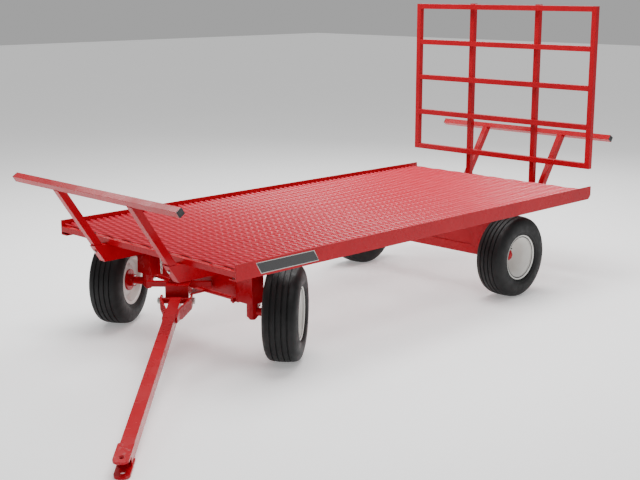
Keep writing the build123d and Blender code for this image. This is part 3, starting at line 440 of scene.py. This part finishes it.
def deck_mesh():
    """Raised expanded metal: tilted flat strands that join in diamonds."""
    low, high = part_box("deck_sheet")
    tilt = radians(STRAND_TILT)
    below = STRAND_WIDTH * sin(tilt) + STRAND_THICK * cos(tilt) / 2
    wide = Vector((-cos(tilt), 0, sin(tilt))) * STRAND_WIDTH / 2
    thick = Vector((sin(tilt), 0, cos(tilt))) * STRAND_THICK / 2
    points = []
    faces = []
    strands = int((high.x - low.x) / (DECK_PITCH / 2))
    for index in range(strands):
        line = strand_points(index, low, high, high.z - below, tilt)
        start = len(points)
        for centre in line:
            for a, b in ((1, 1), (-1, 1), (-1, -1), (1, -1)):
                corner = centre + wide * a + thick * b
                corner.x = min(max(corner.x, low.x), high.x)
                points.append(corner)
        for k in range(len(line) - 1):
            here = start + 4 * k
            for i in range(4):
                j = (i + 1) % 4
                faces.append((here + i, here + j, here + 4 + j, here + 4 + i))
        faces.append(tuple(start + i for i in range(4)))
        faces.append(tuple(start + 4 * (len(line) - 1) + i for i in (3, 2, 1, 0)))
    return mesh_of("deck_mesh", points, faces)


def deck():
    """The mesh that stands for the CAD's plain sheet, with painted shade darker towards its underside
    and a painted highlight on its top.
    """
    low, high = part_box("deck_sheet")
    # the deck's paint has painted shade low down and a painted highlight on top
    paint = painted_light_enamel("red_enamel_deck_painted_light", low.z, high.z)
    obj = new_object("deck_expanded_metal", deck_mesh(), paint, 30)
    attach(obj, "wagon")
    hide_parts("deck_sheet")


# ---------------------------------------------------------------- wheels
def tyre_outline():
    """Rounded side walls and a crowned tread of straight ribs."""
    wall = [(BEAD_R + 0.001, 0.0765), (FLANGE_R + 0.001, 0.0775), (FLANGE_R + 0.006, 0.0855),
            (0.158, 0.0905), (0.162, 0.0900), (0.165, 0.0920), (0.176, 0.0940), (0.188, TYRE_HALF),
            (0.202, 0.0946), (0.214, 0.0930), (0.225, 0.0900), (0.235, 0.0856),
            (0.2435, 0.0798), (0.2490, 0.0736), (0.2520, 0.0670)]
    tread = []
    step = 2 * TREAD_HALF / TREAD_RIBS
    for k in range(TREAD_RIBS - 1):
        middle = TREAD_HALF - step * (k + 1)
        top = TYRE_R - CROWN * (abs(middle) / TREAD_HALF) ** 2
        groove = [(top, GROOVE / 2 + RIB_CHAMFER), (top - RIB_CHAMFER, GROOVE / 2),
                  (top - GROOVE_DEPTH, GROOVE_FLOOR)]
        tread += [(r, middle + s) for r, s in groove]
        tread += [(r, middle - s) for r, s in reversed(groove)]
    inner = [(0.240, -0.062), (0.222, -0.079), (0.188, -0.083), (BEAD_R + 0.001, -0.064),
             (BEAD_R + 0.001, 0.064), (0.188, 0.083), (0.222, 0.079), (0.240, 0.062)]
    return wall + tread + [(r, -s) for r, s in reversed(wall)] + inner


def tyre(key, matrix):
    """Tyre turned from its outline."""
    mesh = turned_mesh("tyre_mesh_" + key, tyre_outline(), 180)
    obj = new_object("tyre_" + key + "_ribbed", mesh, MATERIALS["tyre_rubber"], 32)
    place(obj, matrix, WHEELS[key][0], "tyre_" + key)


def rim(key, matrix):
    """White rim: rolled flange and a smooth deep bowl down to the hub."""
    bowl = [(FLANGE_R, 0.0800), (FLANGE_R - 0.0012, RIM_HALF), (FLANGE_R - 0.0042, RIM_HALF),
            (FLANGE_R - 0.0075, 0.0790), (0.1300, 0.0735), (0.1235, 0.0650), (0.1185, 0.0530),
            (0.1125, 0.0400), (0.1065, 0.0260), (0.1025, 0.0100), (0.0990, -0.0080),
            (0.0940, -0.0250), (0.0865, -0.0375), (0.0760, -0.0460), (0.0640, DISC_S),
            (0.0520, DISC_S), (HUB_R + 0.0002, DISC_S)]
    back = [(HUB_R + 0.0002, -0.0560), (0.0640, -0.0565), (0.0820, -0.0530), (0.0940, -0.0450),
            (0.1020, -0.0400), (0.1210, -0.0520), (0.1230, -0.0780), (FLANGE_R - 0.0030, -RIM_HALF),
            (FLANGE_R, -0.0800), (FLANGE_R, -0.0785), (BEAD_R, -0.0780), (BEAD_R, -0.0470),
            (WELL_R, -0.0330), (WELL_R, 0.0080), (0.1160, 0.0330), (BEAD_R, 0.0560),
            (BEAD_R, 0.0755), (FLANGE_R, 0.0782)]
    mesh = turned_mesh("rim_mesh_" + key, bowl + back, 128)
    obj = new_object("rim_" + key + "_bowl", mesh, MATERIALS["white_paint"], 50)
    place(obj, matrix, WHEELS[key][0], "rim_" + key)


def hub_cap(key, matrix):
    """Lobed cap pressed on the hub's end."""
    outline = [(0.0008, 0.0076), (0.0120, 0.0074), (0.0190, 0.0056), (0.0255, 0.0012),
               (0.0300, -0.0040), (0.0330, -0.0080), (0.0352, -0.0100), (0.0358, -0.0138),
               (0.0300, -0.0139), (0.0008, -0.0139)]

    def warp(i, k, radius, out):
        if 2 <= i <= 5:
            return radius * (1 - LOBE_DEPTH * (1 - cos(CAP_LOBES * tau * k / CAP_STEPS))), out
        return radius, out

    mesh = turned_mesh("cap_mesh_" + key, outline, CAP_STEPS, warp)
    obj = new_object("hub_cap_" + key, mesh, MATERIALS["red_paint"], 36)
    place(obj, matrix, WHEELS[key][0], "dust_cap_" + key)


def valve(key, matrix):
    """Rubber valve stem with its ribbed cap, standing in the bowl."""
    outline = [(0.0004, 0.0), (0.0068, 0.0), (0.0070, 0.0035), (0.0048, 0.0060),
               (0.0040, 0.0180), (0.0036, 0.0200), (0.0046, 0.0206), (0.0046, 0.0300),
               (0.0036, 0.0318), (0.0004, 0.0320)]

    def warp(i, k, radius, out):
        if 6 <= i <= 7 and k % 2:
            return radius * VALVE_GRIP, out
        return radius, out

    mesh = turned_mesh("valve_mesh_" + key, outline, 36, warp)
    obj = new_object("valve_stem_" + key, mesh, MATERIALS["black_plastic"])
    around = radians(VALVE_TURN)
    seat = Matrix.Translation((VALVE_R * cos(around), DISC_S, VALVE_R * sin(around)))
    tip = Matrix.Rotation(radians(VALVE_LEAN), 4, Vector((-sin(around), 0, cos(around))))
    place(obj, matrix @ seat @ tip, WHEELS[key][0])


def wheels():
    for key in WHEELS:
        matrix = wheel_matrix(key)
        tyre(key, matrix)
        rim(key, matrix)
        hub_cap(key, matrix)
        valve(key, matrix)


# ---------------------------------------------------------------- side strip
def side_strip():
    """Plain dark strip with a thin light border, slanted at one end."""
    low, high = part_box("side_strip")
    node = NODES["side_strip"]
    corners = sorted({(round(v.co.x, 4), round(v.co.z, 4)) for v in node.data.vertices})
    middle = (sum(x for x, _ in corners) / len(corners), sum(z for _, z in corners) / len(corners))
    corners.sort(key=lambda p: atan2(p[1] - middle[1], p[0] - middle[0]))
    depth = high.y - low.y

    def sheet(name, outline, back, front, material):
        points = [(x, back, z) for x, z in outline] + [(x, front, z) for x, z in outline]
        n = len(outline)
        faces = [tuple(range(n)), tuple(range(2 * n - 1, n - 1, -1))]
        faces += [(i, (i + 1) % n, n + (i + 1) % n, n + i) for i in range(n)]
        obj = new_object(name, mesh_of(name + "_mesh", points, faces), material, 20)
        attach(obj, "wagon")
        return obj

    border = sheet("side_strip_border", corners, low.y, low.y + depth * STRIP_BORDER_SHARE, STRIP_BORDER)
    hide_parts("side_strip")
    scale_x = 1 - 2 * STRIP_BORDER_WIDTH / (high.x - low.x)
    scale_z = 1 - 2 * STRIP_BORDER_WIDTH / (high.z - low.z)
    centre = (low + high) / 2
    inner = [(centre.x + (x - centre.x) * scale_x, centre.z + (z - centre.z) * scale_z)
             for x, z in corners]
    sheet("side_strip_panel", inner, low.y, high.y, MATERIALS["strip_black"])


# ---------------------------------------------------------------- welds
def weld(name, start, end, radius, body, seed):
    """Rippled fillet weld between two points."""
    draw = random.Random(seed)
    a = Vector(start)
    along = Vector(end) - a
    length = along.length
    along.normalize()
    away = Vector((0, 0, 1)) if abs(along.z) < 0.9 else Vector((1, 0, 0))
    side = along.cross(away).normalized()
    up = side.cross(along)
    steps = max(6, int(length / BEAD_STEP))
    around = BEAD_SIDES
    points = []
    for k in range(steps + 1):
        t = k / steps
        taper = min(1.0, 8 * t + BEAD_TIP, 8 * (1 - t) + BEAD_TIP)
        ripple = 1 - BEAD_RIPPLE + BEAD_RIPPLE * abs(sin(pi * k / RIPPLE_STEPS))
        r = radius * taper * ripple * draw.uniform(0.95, 1.05)
        for i in range(around):
            turn = tau * i / around
            points.append(a + along * length * t + side * r * cos(turn) + up * r * sin(turn))
    faces = [tuple(range(around)), tuple(steps * around + i for i in reversed(range(around)))]
    for k in range(steps):
        for i in range(around):
            j = (i + 1) % around
            here = k * around
            faces.append((here + i, here + j, here + around + j, here + around + i))
    obj = new_object(name, mesh_of(name + "_mesh", points, faces), WELD_RED, 60)
    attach(obj, body)


def rack_welds():
    """Beads where each rack tube meets the side tubes and the posts."""
    low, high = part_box("rack_rails")
    post_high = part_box("rack_posts")[1]
    tube = high.x - low.x
    pitch = (high.z - low.z - tube) / (RACK_TUBES - 1)
    faces = {"front": high.x - BEAD_INSET, "back": low.x + BEAD_INSET}
    for k in range(RACK_TUBES):
        foot = low.z + pitch * k + RACK_BEAD_END
        head = low.z + pitch * k + tube - RACK_BEAD_END
        for side in (1, -1):
            y = side * high.y
            for face, x in faces.items():
                weld(f"weld_rack_{k}_{side + 1}_{face}", (x, y, foot), (x, y, head),
                     RACK_BEAD, "rack", 100 + 4 * k + side)
            y = side * post_high.y
            weld(f"weld_post_{k}_{side + 1}", (low.x, y, foot), (low.x, y, head),
                 RACK_BEAD, "rack", 200 + 4 * k + side)


def frame_welds():
    """Beads where the bolsters meet the main beams, and up the rack pockets."""
    beam_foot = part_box("main_beams")[0].z
    for name in ("front_bolster", "rear_bolster"):
        low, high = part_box(name)
        for side in (1, -1):
            for k, x in enumerate((low.x + BEAD_INSET, high.x - BEAD_INSET)):
                weld(f"weld_{name}_{side + 1}_{k}", (x, side * BOLSTER_BEAD_IN, beam_foot),
                     (x, side * BOLSTER_BEAD_OUT, beam_foot), BOLSTER_BEAD, "wagon",
                     300 + 4 * k + side)
    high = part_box("rack_pockets")[1]
    end_low, end_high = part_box("end_rails")
    x = high.x - BEAD_INSET
    for side in (1, -1):
        for k, y in enumerate((side * (high.y - POCKET_WIDTH), side * high.y)):
            weld(f"weld_pocket_{side + 1}_{k}", (x, y, end_low.z + POCKET_BEAD_END),
                 (x, y, end_high.z - POCKET_BEAD_END), POCKET_BEAD, "wagon", 400 + 4 * k + side)


# ---------------------------------------------------------------- studio
def studio():
    """Pale floor, soft light from all sides and the camera."""
    bpy.ops.mesh.primitive_plane_add(size=FLOOR_SIZE, location=(0.4, 0, GROUND - 0.0005))
    floor = bpy.context.object
    floor.name = "studio_floor"
    r = Recipe("floor_pale")
    tint = r.mix(r.remap(r.noise(0.8), 0.3, 0.7), FLOOR, FLOOR_LIGHT)
    rough = r.remap(r.noise(3.0), 0.3, 0.7, 0.75, 0.85)
    floor.data.materials.append(r.finish(tint, rough, r.bump(r.noise(60.0), 0.001, 0.05)))
    r.shader.inputs["Emission Color"].default_value = (1.0, 1.0, 1.0, 1.0)
    r.shader.inputs["Emission Strength"].default_value = 0.30

    world = bpy.data.worlds.new("studio_world")
    SCENE.world = world
    world.use_nodes = True
    background = world.node_tree.nodes["Background"]
    background.inputs["Color"].default_value = (1.0, 1.0, 1.0, 1.0)
    background.inputs["Strength"].default_value = 0.42

    aim = Vector(LIGHTS_AIM)
    for name, (where, power, width) in LIGHTS.items():
        light = bpy.data.lights.new("light_" + name, "AREA")
        light.energy = power
        light.size = width
        obj = bpy.data.objects.new("light_" + name, light)
        obj.location = where
        obj.rotation_euler = (aim - Vector(where)).to_track_quat("-Z", "Y").to_euler()
        SCENE.collection.objects.link(obj)

    camera = bpy.data.objects.new("camera", bpy.data.cameras.new("camera"))
    camera.data.lens = CAMERA_LENS
    camera.data.sensor_width = 36.0
    camera.data.clip_end = 60.0
    camera.location = CAMERA_AT
    camera.rotation_euler = [radians(turn) for turn in CAMERA_TURN]
    SCENE.collection.objects.link(camera)
    SCENE.camera = camera


paint_cad()
deck()
wheels()
side_strip()
rack_welds()
frame_welds()
studio()
